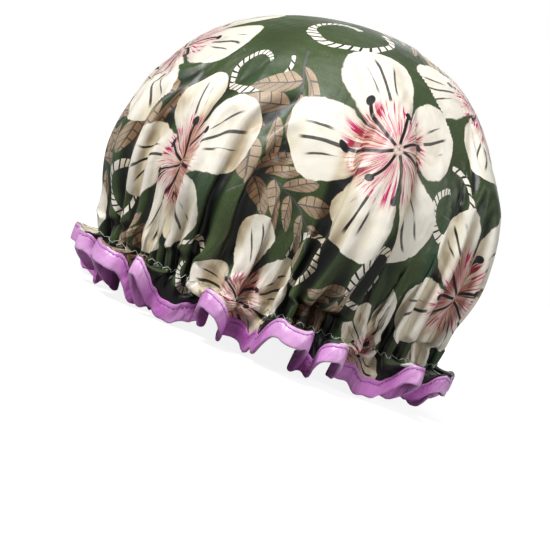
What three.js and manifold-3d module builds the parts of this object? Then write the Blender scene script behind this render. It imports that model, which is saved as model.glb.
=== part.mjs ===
// A gathered satin shower cap with a waterproof lining, in the round shape that it has when worn,
// standing on its frill. Millimetres, +Z up. -X is the forehead and +X the nape, and the origin is
// the middle of the cap's footprint on the surface that the frill stands on.
//
// Two discs of cloth, satin outside and film inside, are drawn in together by a band of elastic
// that is sewn to the film a little way in from the hem. The cloth above the elastic is the crown,
// the cloth below it is the frill, and a folded tape binds the raw edges of both at the hem.
import * as THREE from "three";
import { mergeVertices } from "three/addons/utils/BufferGeometryUtils.js";
import Module from "manifold-3d";

const wasm = await Module();
wasm.setup();

// Head and elastic
const headLength = 200; // inside the stretched elastic, forehead to nape
const headWidth = 160; // inside the stretched elastic, ear to ear
const elasticWidth = 6;
const elasticThickness = 1;

// Crown, over the satin and without its folds
const crownLength = 242; // at the fullest, forehead to nape
const crownWidth = 208; // at the fullest, ear to ear
const crownRise = 171; // from the elastic up to the top
const fullestRise = 57; // from the elastic up to the fullest part
const crownLean = 14; // how far the top leans towards the nape
const crownSetback = 6; // how far the fullest part sits towards the forehead
const crownEndDegrees = 150; // how far round the crown's curve the elastic is, from the top

// Cloth
const satinThickness = 0.5;
const filmThickness = 0.3;
const layerGap = 0.3; // between the satin and the film
const seatGap = 0.3; // between the film and the elastic that it is sewn to

// Gathers and frill
const foldCount = 18;
const sidesPerFold = 4;
const gatherDepth = 10; // in and out, at the elastic
const gatherRise = 76; // how far up the crown the folds reach
const frillLength = 28; // from the elastic to the hem, along the cloth
const hemLift = 5; // how much of the frill's height is taken up where it folds out
const innerFlareDegrees = 2; // the frill's slope outwards where it folds in
const outerFlareDegrees = 22; // and where it folds out
const depthVariationShare = 0.34; // how much the folds differ in depth
const spacingVariationShare = 0.11; // how far a fold may sit from its even place

// Edge binding
const bindingWidth = 11; // from its upper edge to the hem
const bindingThickness = 0.5;
const bindingGap = 0.3; // between the tape and the cloth in it
const bindingFold = 1.1; // how thick the tape is at its fold, below the hem
const footDepth = 0.5; // how much of the fold is pressed flat where the cap stands

const degree = Math.PI / 180;
const fullTurn = 2 * Math.PI;
const sides = foldCount * sidesPerFold;
const crownEnd = crownEndDegrees * degree;
const innerFlare = innerFlareDegrees * degree;
const outerFlare = outerFlareDegrees * degree;
const hemHeight = bindingGap + bindingFold - footDepth;
const elasticHeight = hemHeight + frillLength * Math.cos(innerFlare);

// The shapes below are those of the film's inner face, and the other faces are set out from it.
const satinInside = filmThickness + layerGap;
const satinOutside = satinInside + satinThickness;
const waistDepth = elasticThickness + seatGap;
const waist = new THREE.Vector2(headLength / 2 + waistDepth, headWidth / 2 + waistDepth);
const fullest = new THREE.Vector2(crownLength / 2 - satinOutside, crownWidth / 2 - satinOutside);

// Turn runs once round the cap. The folds are even in turn and uneven in angle.
function angleAt(turn) {
  const swell = Math.sin(2 * turn + 1) + Math.sin(5 * turn + 2);
  return turn + (spacingVariationShare * fullTurn * swell) / foldCount;
}

// 1 where the cloth folds out furthest, and 0 where it folds in.
function foldAt(turn) {
  return (1 + Math.cos(foldCount * turn)) / 2;
}

function depthShareAt(turn) {
  const swell = (2 + Math.sin(2 * turn + 1) + Math.sin(5 * turn)) / 4;
  return 1 - depthVariationShare * swell;
}

// The level direction that faces out of an ellipse.
function outwardAt(angle, radii) {
  return new THREE.Vector3(radii.y * Math.cos(angle), radii.x * Math.sin(angle), 0).normalize();
}

// A point of the crown without its folds. Bend runs from 0 at the top, through a quarter turn at
// the fullest part, to crownEnd at the elastic. Above the fullest part the crown is half of an
// ellipsoid that leans back. Below it, an arc turns in to the elastic.
function crownPoint(bend, angle) {
  const isUpper = bend <= Math.PI / 2;
  const downShare = Math.cos(bend) / Math.cos(crownEnd);
  const inShare = (1 - Math.sin(bend)) / (1 - Math.sin(crownEnd));
  const radii = isUpper
    ? fullest.clone().multiplyScalar(Math.sin(bend))
    : fullest.clone().lerp(waist, inShare);
  const rise = isUpper
    ? fullestRise + (crownRise - satinOutside - fullestRise) * Math.cos(bend)
    : fullestRise * (1 - downShare);
  const setback = isUpper
    ? crownSetback - crownLean * Math.cos(bend) ** 4
    : crownSetback * (1 - downShare ** 2);
  return new THREE.Vector3(
    radii.x * Math.cos(angle) - setback,
    radii.y * Math.sin(angle),
    elasticHeight + rise,
  );
}

// A point of the crown with its folds, which are deepest at the elastic and fade out above it.
function gatheredPoint(bend, turn) {
  const angle = angleAt(turn);
  const point = crownPoint(bend, angle);
  const reach = THREE.MathUtils.clamp(1 - (point.z - elasticHeight) / gatherRise, 0, 1);
  const depth = gatherDepth * depthShareAt(turn) * reach * foldAt(turn);
  return point.addScaledVector(outwardAt(angle, fullest), depth);
}

// A point of the frill, at a length of cloth below the elastic.
function frillPoint(down, turn) {
  const openness = foldAt(turn) * depthShareAt(turn);
  const flare = THREE.MathUtils.lerp(innerFlare, outerFlare, openness);
  const drop = down * (1 - (hemLift / frillLength) * openness);
  const point = gatheredPoint(crownEnd, turn);
  point.addScaledVector(outwardAt(angleAt(turn), waist), drop * Math.sin(flare));
  point.z -= drop * Math.cos(flare);
  return point;
}

// Points round the cap. The smooth top needs fewer of them than the gathers.
function ringOf(count, pointAt) {
  return Array.from({ length: count }, (_, k) => pointAt((fullTurn * k) / count));
}

// The rings of the crown, by bend in degrees and by how many places round the cap each one skips.
const crownRings = [
  { bend: 15, skip: 4 },
  { bend: 30, skip: 4 },
  { bend: 46, skip: 2 },
  { bend: 62, skip: 2 },
  { bend: 78, skip: 1 },
  { bend: 95, skip: 1 },
  { bend: 113, skip: 1 },
  { bend: 131, skip: 1 },
  { bend: crownEndDegrees, skip: 1 },
];
const frillRings = [frillLength - bindingWidth, frillLength];
const clothRings = [
  [crownPoint(0, 0)],
  ...crownRings.map(({ bend, skip }) => ringOf(sides / skip, (turn) => gatheredPoint(bend * degree, turn))),
  ...frillRings.map((down) => ringOf(sides, (turn) => frillPoint(down, turn))),
];

// The triangles between two rings of vertex numbers. The lower ring has as many vertices as the
// upper one, or twice as many, or any number where the upper ring is a single point.
function bandBetween(upper, lower) {
  const above = (k) => upper[Math.round((k * upper.length) / lower.length) % upper.length];
  return lower.flatMap((vertex, k) => {
    const next = lower[(k + 1) % lower.length];
    const band = [above(k), vertex, next];
    return above(k) === above(k + 1) ? band : [...band, above(k), next, above(k + 1)];
  });
}

function bandsOf(rings) {
  return rings.slice(1).flatMap((lower, r) => bandBetween(rings[r], lower));
}

// Rings of vertex numbers for rings of points that are numbered one after another.
function numbersOf(rings, first = 0) {
  let number = first;
  return rings.map((ring) => ring.map(() => number++));
}

// How far, and which way, each point moves when its face is set out by one unit: along the mean of
// the normals round it, and further where the cloth bends sharply, so that a layer is as thick
// there as elsewhere.
function stepsOut(rings) {
  const points = rings.flat();
  const numbers = numbersOf(rings);
  const triangles = bandsOf(numbers);
  const normalsAt = points.map(() => []);
  for (let t = 0; t < triangles.length; t += 3) {
    const corners = triangles.slice(t, t + 3);
    const normal = new THREE.Triangle(...corners.map((c) => points[c])).getNormal(new THREE.Vector3());
    corners.forEach((c) => normalsAt[c].push(normal));
  }
  const steps = normalsAt.map((normals) => {
    const mean = normals.reduce((sum, n) => sum.add(n), new THREE.Vector3()).normalize();
    return mean.divideScalar(Math.min(...normals.map((n) => n.dot(mean))));
  });
  return numbers.map((ring) => ring.map((number) => steps[number]));
}

const clothSteps = stepsOut(clothRings);

// The cloth's face, ring by ring, when it is set out by a distance.
function setOut(distance) {
  return clothRings.map((ring, r) =>
    ring.map((point, k) => point.clone().addScaledVector(clothSteps[r][k], distance)),
  );
}

function geometryOf(rings, triangles) {
  const geometry = new THREE.BufferGeometry().setFromPoints(rings.flat());
  geometry.setIndex(triangles);
  geometry.computeVertexNormals();
  return geometry;
}

// A layer of cloth between two distances out, closed along its raw edge at the hem.
function clothLayer(inside, outside) {
  const outer = setOut(outside);
  const inner = setOut(inside);
  const outerNumbers = numbersOf(outer);
  const innerNumbers = numbersOf(inner, outer.flat().length);
  const rawEdge = bandBetween(outerNumbers.at(-1), innerNumbers.at(-1));
  const innerFace = bandsOf(innerNumbers).reverse();
  return geometryOf([...outer, ...inner], [...bandsOf(outerNumbers), ...rawEdge, ...innerFace]);
}

// A ring-shaped piece whose section is a closed loop of corners, with a ring of points for each. A
// face that runs up the cloth is split into triangles in the same way as the cloth beside it.
function loopOf(corners) {
  const rings = corners.map(({ ring }) => ring);
  const numbers = numbersOf(rings);
  const triangles = corners.flatMap(({ runsUp }, i) => {
    const next = numbers[(i + 1) % numbers.length];
    return runsUp ? bandBetween(next, numbers[i]).reverse() : bandBetween(numbers[i], next);
  });
  return geometryOf(rings, triangles);
}

function solidOf(geometry) {
  const bare = geometry.clone();
  bare.deleteAttribute("normal");
  bare.deleteAttribute("uv");
  const merged = mergeVertices(bare);
  return new wasm.Manifold(
    new wasm.Mesh({
      numProp: 3,
      vertProperties: merged.attributes.position.array,
      triVerts: new Uint32Array(merged.index.array),
    }),
  );
}

function fromSolid(solid) {
  const { vertProperties, triVerts } = solid.getMesh();
  const geometry = new THREE.BufferGeometry();
  geometry.setAttribute("position", new THREE.BufferAttribute(vertProperties, 3));
  geometry.setIndex(new THREE.BufferAttribute(triVerts, 1));
  geometry.computeVertexNormals();
  return geometry;
}

// The folded tape: two legs that lie along the cloth inside and out, joined by the fold under the
// hem. Where the cap stands on the fold, the fold is flat.
function bindingTape() {
  const [edge, hem] = clothRings.slice(-2);
  const [edgeSteps, hemSteps] = clothSteps.slice(-2);
  const hang = hem.map((p, k) => p.clone().sub(edge[k]).normalize());
  const upperRing = (out) => edge.map((p, k) => p.clone().addScaledVector(edgeSteps[k], out));
  const lowerRing = (out, below) =>
    hem.map((p, k) => p.clone().addScaledVector(hemSteps[k], out).addScaledVector(hang[k], below));
  const outerSeat = satinOutside + bindingGap;
  const outerFace = outerSeat + bindingThickness;
  const innerSeat = -bindingGap;
  const innerFace = innerSeat - bindingThickness;
  const foldBottom = bindingGap + bindingFold;
  const tape = loopOf([
    { ring: upperRing(outerFace) },
    { ring: lowerRing(outerFace, 0) },
    { ring: lowerRing(outerSeat, foldBottom) },
    { ring: lowerRing(innerSeat, foldBottom) },
    { ring: lowerRing(innerFace, 0), runsUp: true },
    { ring: upperRing(innerFace) },
    { ring: upperRing(innerSeat) },
    { ring: lowerRing(innerSeat, 0) },
    { ring: lowerRing(innerSeat, bindingGap) },
    { ring: lowerRing(outerSeat, bindingGap) },
    { ring: lowerRing(outerSeat, 0), runsUp: true },
    { ring: upperRing(outerSeat) },
  ]);
  tape.computeBoundingBox();
  const span = tape.boundingBox.getSize(new THREE.Vector3()).length();
  const ground = new THREE.BoxGeometry(span, span, span);
  ground.translate(0, 0, -span / 2);
  return fromSolid(solidOf(tape).subtract(solidOf(ground)));
}

// The flat band of elastic, standing on edge inside the film.
function elasticBand() {
  const bandRing = (depth, rise) =>
    ringOf(sides, (turn) => {
      const angle = angleAt(turn);
      const x = (headLength / 2 + depth) * Math.cos(angle);
      const y = (headWidth / 2 + depth) * Math.sin(angle);
      return new THREE.Vector3(x, y, elasticHeight + rise);
    });
  return loopOf([
    { ring: bandRing(elasticThickness, elasticWidth / 2) },
    { ring: bandRing(elasticThickness, -elasticWidth / 2) },
    { ring: bandRing(0, -elasticWidth / 2) },
    { ring: bandRing(0, elasticWidth / 2) },
  ]);
}

const satinGreen = new THREE.MeshStandardMaterial({ color: 0x3f4935, roughness: 0.4, metalness: 0 });
const filmWhite = new THREE.MeshStandardMaterial({ color: 0xe6e8e4, roughness: 0.3, metalness: 0 });
const elasticWhite = new THREE.MeshStandardMaterial({ color: 0xf2f1ed, roughness: 0.8, metalness: 0 });
const tapePurple = new THREE.MeshStandardMaterial({ color: 0xb16ab1, roughness: 0.4, metalness: 0 });

const cap = new THREE.Group();

function addPiece(name, geometry, material) {
  const piece = new THREE.Mesh(geometry, material);
  piece.name = name;
  cap.add(piece);
}

addPiece("satin_shell", clothLayer(satinInside, satinOutside), satinGreen);
addPiece("waterproof_lining", clothLayer(0, filmThickness), filmWhite);
addPiece("elastic_band", elasticBand(), elasticWhite);
addPiece("edge_binding", bindingTape(), tapePurple);

const footprint = new THREE.Box3().setFromObject(cap).getCenter(new THREE.Vector3());
cap.position.set(-footprint.x, -footprint.y, 0);

export default cap;
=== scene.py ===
"""Shower cap: a disc of printed satin over a film lining, drawn in by a sewn elastic above a frill with a
folded tape edge."""

import math

import bmesh
import bpy
import numpy as np
from mathutils import Matrix, Vector


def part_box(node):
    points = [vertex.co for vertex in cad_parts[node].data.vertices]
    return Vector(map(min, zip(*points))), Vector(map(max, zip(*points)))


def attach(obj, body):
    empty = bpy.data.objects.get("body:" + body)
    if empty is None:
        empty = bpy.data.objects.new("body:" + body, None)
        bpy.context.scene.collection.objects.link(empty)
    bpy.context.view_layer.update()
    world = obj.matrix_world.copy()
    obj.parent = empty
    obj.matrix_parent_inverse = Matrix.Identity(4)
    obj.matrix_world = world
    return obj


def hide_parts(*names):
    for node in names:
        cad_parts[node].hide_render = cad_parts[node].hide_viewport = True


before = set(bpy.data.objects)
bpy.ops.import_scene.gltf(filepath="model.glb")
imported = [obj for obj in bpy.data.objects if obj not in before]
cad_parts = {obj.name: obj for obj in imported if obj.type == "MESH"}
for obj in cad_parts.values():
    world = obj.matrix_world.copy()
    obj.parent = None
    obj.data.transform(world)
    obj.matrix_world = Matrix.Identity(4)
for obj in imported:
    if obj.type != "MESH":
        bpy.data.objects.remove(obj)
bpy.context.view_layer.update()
elastic_low, elastic_high = (np.array(corner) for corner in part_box("elastic_band"))

MM = 0.001
TURN = 2 * math.pi

# The cloth before it is gathered: a flat disc
RIM_RADIUS = 265 * MM
FRILL_LENGTH = 28 * MM
SEWN_RADIUS = RIM_RADIUS - FRILL_LENGTH

# How much shorter the outer rings are than the flat disc's, for the give of cloth on the bias and for
# creases too small to be shown, and the radius from which all of it counts
BIAS_GIVE = 0.18
BIAS_FULL_AT = 170 * MM

# The cap as it stands. Its waist follows the frame's elastic, and its crown the photographed outline.
CENTRE = (elastic_low + elastic_high) / 2
BAND_RADII = (elastic_high - elastic_low)[:2] / 2
BAND_THICKNESS = 1 * MM
WAIST = BAND_RADII + 1.0 * MM
FULLEST = np.array([121, 104]) * MM
RISE_TO_TOP = 171 * MM
RISE_TO_FULLEST = 57 * MM
SETBACK = 3 * MM  # how far the fullest ring sits towards the forehead
LEAN = 11 * MM  # how far the top leans towards the nape
LEAN_POWER = 6
SHOULDER_POWER = 0.93
END_BEND = math.radians(150)
CROWN_INSET = 1.5 * MM

# How many cloth points there are round a ring, and how many rings
POINTS_ROUND = 768
SIM_STRIDE = 2
CROWN_RINGS = 57
CROWN_RING_POWER = 0.93
FRILL_RINGS = 12
FRILL_STEP = FRILL_LENGTH / FRILL_RINGS

# The folds: how many of each kind go round
GATHERS, LOOPS, PUFFS, RIPPLES = 60, 18, 9, 31
# Where a kind of fold begins to fade and over how much it fades, as shares of the sewn radius
GATHER_START, GATHER_FADE, GATHER_MOST = 0.6, 0.4, 0.97
PUFF_END, PUFF_FADE = 0.55, 0.4
# How uneven they are
LOOP_EVENNESS, SLOW_WAVES, STILL_WAVES = 0.25, 8, 6
SPACING_VARIATION, DEPTH_VARIATION, PUFF_START = 0.11, 0.34, 2.0
STEEPEST_SCALE, HALVINGS = 2.6, 24

# The frill: how it flares, and how its loops roll out and rise at the hem
FLARE = math.radians(14)
TUCK = 0.18
LOOPS_FULL_AT = 0.5 * FRILL_LENGTH
ROLL_FROM = 0.2 * FRILL_LENGTH
RISE_FULL_AT = 0.7 * FRILL_LENGTH
STEEPEST_FALL = 0.25
LOBE_ROLL, LOBE_RISE, END_ROLL_LOSS = 6 * MM, 9 * MM, 0.8
LOWEST_HEM = 1.1 * MM


def soft_step(values, low, high):
    """0 below low, 1 above high, and the smooth cubic between them."""
    x = np.clip((values - low) / (high - low), 0, 1)
    return x * x * (3 - 2 * x)


def wander(angle, seed, waves):
    """A sum of that many sine waves round the ring, each of a random height and start, with a spread of
    about one."""
    random = np.random.default_rng(seed)
    heights = random.normal(size=waves) / math.sqrt(waves)
    starts = random.uniform(0, TURN, waves)
    count = np.arange(1, waves + 1)
    return (heights[:, None] * np.sin(count[:, None] * angle + starts[:, None])).sum(0) * math.sqrt(2)


def uneven_waves(angle, count, start, place, height):
    """That many sine waves round the ring, whose places and heights wander. Place and height each give how
    much, the seed and the number of slow waves."""
    moved = np.sin(count * angle + start + place[0] * wander(angle, *place[1:]))
    return moved * (1 + height[0] * wander(angle, *height[1:]))


def crown_point(bend, angle, inset=0.0):
    """The ungathered crown. Bend goes from 0 at the top over 90 degrees at the fullest ring to END_BEND at
    the elastic. Above the fullest ring it is a half ellipsoid that leans towards the nape. Below it, the
    radii go down to the waist's in a soft step."""
    full = FULLEST - inset
    upper = bend <= np.pi / 2
    drop = np.cos(bend) / math.cos(END_BEND)
    inward = 1 - soft_step(1 - drop, 0, 1)
    around = np.sin(bend) ** SHOULDER_POWER
    radius_x = np.where(upper, full[0] * around, full[0] + (WAIST[0] - full[0]) * inward)
    radius_y = np.where(upper, full[1] * around, full[1] + (WAIST[1] - full[1]) * inward)
    dome = RISE_TO_FULLEST + (RISE_TO_TOP - RISE_TO_FULLEST) * np.cos(bend)
    height = np.where(upper, dome, RISE_TO_FULLEST * (1 - drop))
    back = np.where(upper, SETBACK - LEAN * np.cos(bend) ** LEAN_POWER, SETBACK * (1 - drop**2))
    across = CENTRE[0] - back + radius_x * np.cos(angle)
    return np.stack([across, CENTRE[1] + radius_y * np.sin(angle), CENTRE[2] + height], -1)


def crown_summit(inset=0.0):
    """The crown's highest point, as a row of one."""
    return crown_point(np.array([0.0]), np.array([0.0]), inset)


def cloth_girth(radius):
    """The disc's radius less the give, which lets the outer rings draw in."""
    return radius * (1 - BIAS_GIVE * soft_step(radius, 0, BIAS_FULL_AT))


def slope_scale(shape, fullness):
    """How steep a fold pattern has to be, ring by ring, so that the cloth is fullness times longer than the
    ring under it. Found by halving: the mean cosine of the slopes is one over the fullness."""
    low, high = np.zeros(len(shape)), np.full(len(shape), STEEPEST_SCALE)
    for _ in range(HALVINGS):
        middle = (low + high) / 2
        short = np.cos(middle[:, None] * shape).mean(1) > 1 / fullness
        low, high = np.where(short, middle, low), np.where(short, high, middle)
    return middle


def fold_lines(slopes, cloth_step):
    """Cloth that turns from side to side as it goes round: each step goes along by the slope's cosine and out
    by its sine. Gives the share of the way round and the way out, without the slow drift in and out."""
    count = slopes.shape[1]
    along = np.cumsum(np.cos(slopes), 1) - np.cos(slopes) / 2
    along /= np.cos(slopes).sum(1, keepdims=True)
    even = np.arange(count) / count
    drift = np.fft.rfft(along - even, axis=1)
    drift[:, :SLOW_WAVES] *= LOOP_EVENNESS
    along = even + np.fft.irfft(drift, n=count, axis=1)
    out = np.cumsum(np.sin(slopes), 1) * cloth_step[:, None]
    out -= out[:, -1:] * even
    waves = np.fft.rfft(out, axis=1)
    waves[:, :STILL_WAVES] = 0
    return along, np.fft.irfft(waves, n=count, axis=1)


def place_round(turn):
    """The ellipse's angle for an even turn. The loops are even in turn and uneven in angle."""
    return turn + SPACING_VARIATION * TURN / LOOPS * (np.sin(2 * turn + 1) + np.sin(5 * turn + 2))


def ring_angle(share, radii):
    """The ellipse's angle after that share of its way round."""
    angle = np.linspace(0, TURN, 4001)
    ring = np.stack([radii[0] * np.cos(angle), radii[1] * np.sin(angle)], -1)
    way = np.concatenate([[0], np.cumsum(np.linalg.norm(np.diff(ring, axis=0), axis=1))])
    return np.interp(share * way[-1], way, angle)


def ring_length(points):
    """The way along the points, from the first to the last."""
    return np.linalg.norm(np.diff(points, axis=0), axis=1).sum()


def bend_at(radii):
    """The crown's bend at each ring. The ring's radius over the sewn radius is its share of the way down the
    crown, from the top to the elastic."""
    bends = np.linspace(0, END_BEND, 200)
    spokes = np.linspace(0, TURN, 100, endpoint=False)
    grid = crown_point(*np.meshgrid(bends, spokes, indexing="ij"), CROWN_INSET)
    arcs = np.linalg.norm(np.diff(grid, axis=0), axis=-1).mean(1)
    way_down = np.concatenate([[0], np.cumsum(arcs)])
    return np.interp(np.minimum(radii, SEWN_RADIUS) / SEWN_RADIUS * way_down[-1], way_down, bends)


def ring_fullness(radii, bend, drop):
    """How many times longer each ring's cloth is than the ring under it: the cloth's girth over the ring's
    length, at least 1. Below the elastic the ring widens with the frill's flare."""
    angle = np.linspace(0, TURN, 721)
    spoke = np.stack([np.cos(angle), np.sin(angle)], -1)
    lengths = []
    for ring_bend, ring_drop in zip(bend, drop):
        ring = crown_point(np.full_like(angle, ring_bend), angle, CROWN_INSET)[:, :2]
        lengths.append(ring_length(ring + spoke * ring_drop * math.sin(FLARE)))
    return np.maximum(1.0, TURN * cloth_girth(radii) / np.array(lengths))


def fold_slopes(angle, rel, hem_share):
    """The slopes of the folds before they are scaled, ring by ring: broad puffs high on the crown, loops
    below them, fine gathers at the elastic, and in the frill loops again, which lean. The squares of the
    three shares add up to one, and rel is the ring's radius over the sewn radius."""
    fading_in = np.clip((rel - GATHER_START) / GATHER_FADE, 0, 1)
    fine = np.sqrt(fading_in * GATHER_MOST * (1 - hem_share))
    broad = np.sqrt(np.clip(1 - (rel - PUFF_END) / PUFF_FADE, 0, 1))
    middle = np.sqrt(np.clip(1 - fine**2 - broad**2, 0, 1))
    depth_share = 1 - DEPTH_VARIATION * (2 + np.sin(2 * angle + 1) + np.sin(5 * angle)) / 4
    swing = 1.3 * depth_share + 0.22 * wander(angle, 12, 9)
    phase = LOOPS * angle + math.pi + 0.35 * wander(angle, 5, 7)
    lean = 0.34 * wander(angle, 21, 8)
    gather_slopes = uneven_waves(angle, GATHERS, 0.0, (1.5, 3, 9), (0.35, 11, 12))
    loop_slopes = np.sin(phase) * swing
    puff_slopes = uneven_waves(angle, PUFFS, PUFF_START, (0.3, 8, 5), (0.3, 13, 6))
    shape = fine[:, None] * gather_slopes + middle[:, None] * loop_slopes + broad[:, None] * puff_slopes
    ripple = 0.4 * np.sin(RIPPLES * angle + 0.8 * wander(angle, 31, 6))
    return shape + hem_share[:, None] * (lean * np.cos(2 * phase) + ripple)


def crown_normal(bend, turn, rel):
    """The direction out of the ungathered crown, which turns level towards the elastic."""
    base = crown_point(bend, turn, CROWN_INSET)
    across = crown_point(bend, turn + 1e-3, CROWN_INSET) - base
    downward = crown_point(bend + 1e-3, turn, CROWN_INSET) - base
    normal = np.cross(downward, across)
    normal[..., 2] *= (1 - soft_step(rel, 0.9, 1.0))[:, None]
    return normal / np.linalg.norm(normal, axis=2, keepdims=True)


def hang_frill(points, drop, lobe):
    """Sets the heights of the frill's rings: each hangs below the last by what its steps to the side leave of
    the cloth's length. The loops' outer parts rise, and nothing hangs below the lowest hem."""
    frill_top = CROWN_RINGS - 1
    steps = np.diff(points[frill_top:, :, :2], axis=0)
    sideways = (steps**2).sum(2)
    length = np.diff(drop[frill_top:])[:, None]
    fall = np.sqrt(np.maximum(length**2 - sideways, (STEEPEST_FALL * length) ** 2))
    fall = np.cumsum(fall, 0)
    raised = lobe * soft_step(drop, ROLL_FROM, RISE_FULL_AT)[:, None] * LOBE_RISE
    hung = points[frill_top, :, 2] - fall + raised[frill_top + 1 :]
    points[frill_top + 1 :, :, 2] = np.maximum(hung, LOWEST_HEM)


def start_folds():
    """The cap just after it was gathered, with the cloth's length in its folds. Returns the rings' flat radii
    and their points."""
    angle = np.arange(POINTS_ROUND) * TURN / POINTS_ROUND
    up = np.linspace(0, 1, CROWN_RINGS + 1)[1:]
    crown_radii = SEWN_RADIUS * up**CROWN_RING_POWER
    down = np.linspace(0, FRILL_LENGTH, FRILL_RINGS + 1)[1:]
    radii = np.concatenate([crown_radii, SEWN_RADIUS + down])
    drop = np.clip(radii - SEWN_RADIUS, 0, None)
    rel = radii / SEWN_RADIUS
    bend = bend_at(radii)

    shape = fold_slopes(angle, rel, soft_step(drop, 0.0, LOOPS_FULL_AT))
    slopes = slope_scale(shape, ring_fullness(radii, bend, drop))[:, None] * shape
    slopes = np.arctan2(np.sin(slopes) - np.sin(slopes).mean(1, keepdims=True), np.cos(slopes))
    along, out = fold_lines(slopes, TURN * cloth_girth(radii) / POINTS_ROUND)
    turn = place_round(TURN * along)

    lift = -np.minimum(0, np.percentile(out, 4, axis=1)) * soft_step(rel, 0.86, 1.0) - TUCK * drop
    bend_grid = np.repeat(bend[:, None], POINTS_ROUND, 1)
    lobe = soft_step(out, 0, np.percentile(out, 97, axis=1)[:, None]) * (drop > 0)[:, None]
    rolled = lobe * soft_step(drop, ROLL_FROM, FRILL_LENGTH)[:, None] * LOBE_ROLL
    rolled *= 1 - END_ROLL_LOSS * np.cos(turn) ** 4
    way_out = out + lift[:, None] + rolled
    base = crown_point(bend_grid, turn, CROWN_INSET)
    points = base + crown_normal(bend_grid, turn, rel) * way_out[..., None]
    hang_frill(points, drop, lobe)
    return radii, points


def rest_rings(radii, count):
    """The disc as the cloth solver's unstretched shape: rings with the give, set lower where they are drawn
    in so that the way from ring to ring stays the flat one."""
    girth = cloth_girth(radii)
    flat_steps = np.diff(radii, prepend=0)
    girth_steps = np.diff(girth, prepend=0)
    height = -np.cumsum(np.sqrt(np.maximum(flat_steps**2 - girth_steps**2, 0)))
    angle = np.arange(count) * TURN / count
    across, along = np.outer(girth, np.cos(angle)), np.outer(girth, np.sin(angle))
    return np.stack([across, along, np.repeat(height[:, None], count, 1)], -1)


def ring_faces(rings, count, pole=False):
    """Four-sided faces between neighbouring rings, and a fan of triangles where the first point is a pole."""
    index = np.arange(rings * count).reshape(rings, count) + int(pole)
    upper, lower = index[:-1], index[1:]
    quads = np.stack([upper, lower, np.roll(lower, -1, 1), np.roll(upper, -1, 1)], -1)
    quads = quads.reshape(-1, 4).tolist()
    if not pole:
        return quads
    first = index[0]
    fan = np.stack([np.zeros_like(first), first, np.roll(first, -1)], -1).tolist()
    return fan + quads


def new_object(name, points, faces):
    """A mesh object at the origin, from points in metres."""
    mesh = bpy.data.meshes.new(name)
    mesh.from_pydata(points.reshape(-1, 3).tolist(), [], faces)
    mesh.update()
    made = bpy.data.objects.new(name, mesh)
    bpy.context.scene.collection.objects.link(made)
    return made


# The cloth solver works at this many times the cap's size, over a form that lies inside the crown by the
# first inset at its top and by both of them from the fullest ring down
SIM_SCALE = 10.0
SIM_FRAMES = 16
GRAVITY = 9.81
FORM_INSET = 2 * MM
FORM_INSET_BELOW = 5 * MM
FORM_INSET_FROM, FORM_INSET_FADE, FORM_INSET_POWER = 0.6, 0.9, 1.2
FORM_RINGS, FORM_SPOKES = 39, 96
CROWN_CLOTH = {
    "weight": 0.14,
    "cloth": {
        "quality": 6,
        "mass": 0.3,
        "tension_stiffness": 40,
        "compression_stiffness": 40,
        "shear_stiffness": 10,
        "bending_stiffness": 0.8,
        "tension_damping": 15,
        "compression_damping": 15,
        "shear_damping": 10,
        "bending_damping": 1,
        "air_damping": 2,
    },
    "hits": {"distance_min": 0.01, "collision_quality": 2, "use_self_collision": False},
    "form_thickness": 0.01,
    "form_friction": 3,
}


def settle(start, rest, faces, pinned, form, settings):
    """Lets the cloth fall into its folds with the cloth solver. The pinned points stay where they are, and
    the form holds the cloth out. Returns the points where they come to rest, in metres."""
    cloth = new_object("crown", start * SIM_SCALE, faces)
    cloth.shape_key_add(name="Basis")
    key = cloth.shape_key_add(name="flat")
    key.data.foreach_set("co", (rest * SIM_SCALE).astype(np.float32).ravel())
    key.value = 0.0
    group = cloth.vertex_groups.new(name="sewn")
    group.add([int(i) for i in pinned], 1.0, "REPLACE")
    solver = cloth.modifiers.new("Cloth", "CLOTH")
    solver.settings.rest_shape_key = key
    solver.settings.vertex_group_mass = "sewn"
    for where, kind in ((solver.settings, "cloth"), (solver.collision_settings, "hits")):
        for word, value in settings[kind].items():
            setattr(where, word, value)
    solver.point_cache.frame_start, solver.point_cache.frame_end = 1, SIM_FRAMES
    form.modifiers.new("Collision", "COLLISION")
    form.collision.thickness_outer = settings["form_thickness"]
    form.collision.cloth_friction = settings["form_friction"]
    scene = bpy.context.scene
    scene.frame_start, scene.frame_end = 1, SIM_FRAMES
    scene.gravity = (0, 0, -GRAVITY * settings["weight"])
    for number in range(1, SIM_FRAMES + 1):
        scene.frame_set(number)
    settled = cloth.evaluated_get(bpy.context.evaluated_depsgraph_get()).data
    points = np.empty(len(settled.vertices) * 3, np.float32)
    settled.vertices.foreach_get("co", points)
    for made in (cloth, form):
        mesh = made.data
        bpy.data.objects.remove(made)
        bpy.data.meshes.remove(mesh)
    scene.frame_set(1)
    scene.gravity = (0, 0, -GRAVITY)
    return points.reshape(-1, 3).astype(float) / SIM_SCALE


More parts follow.
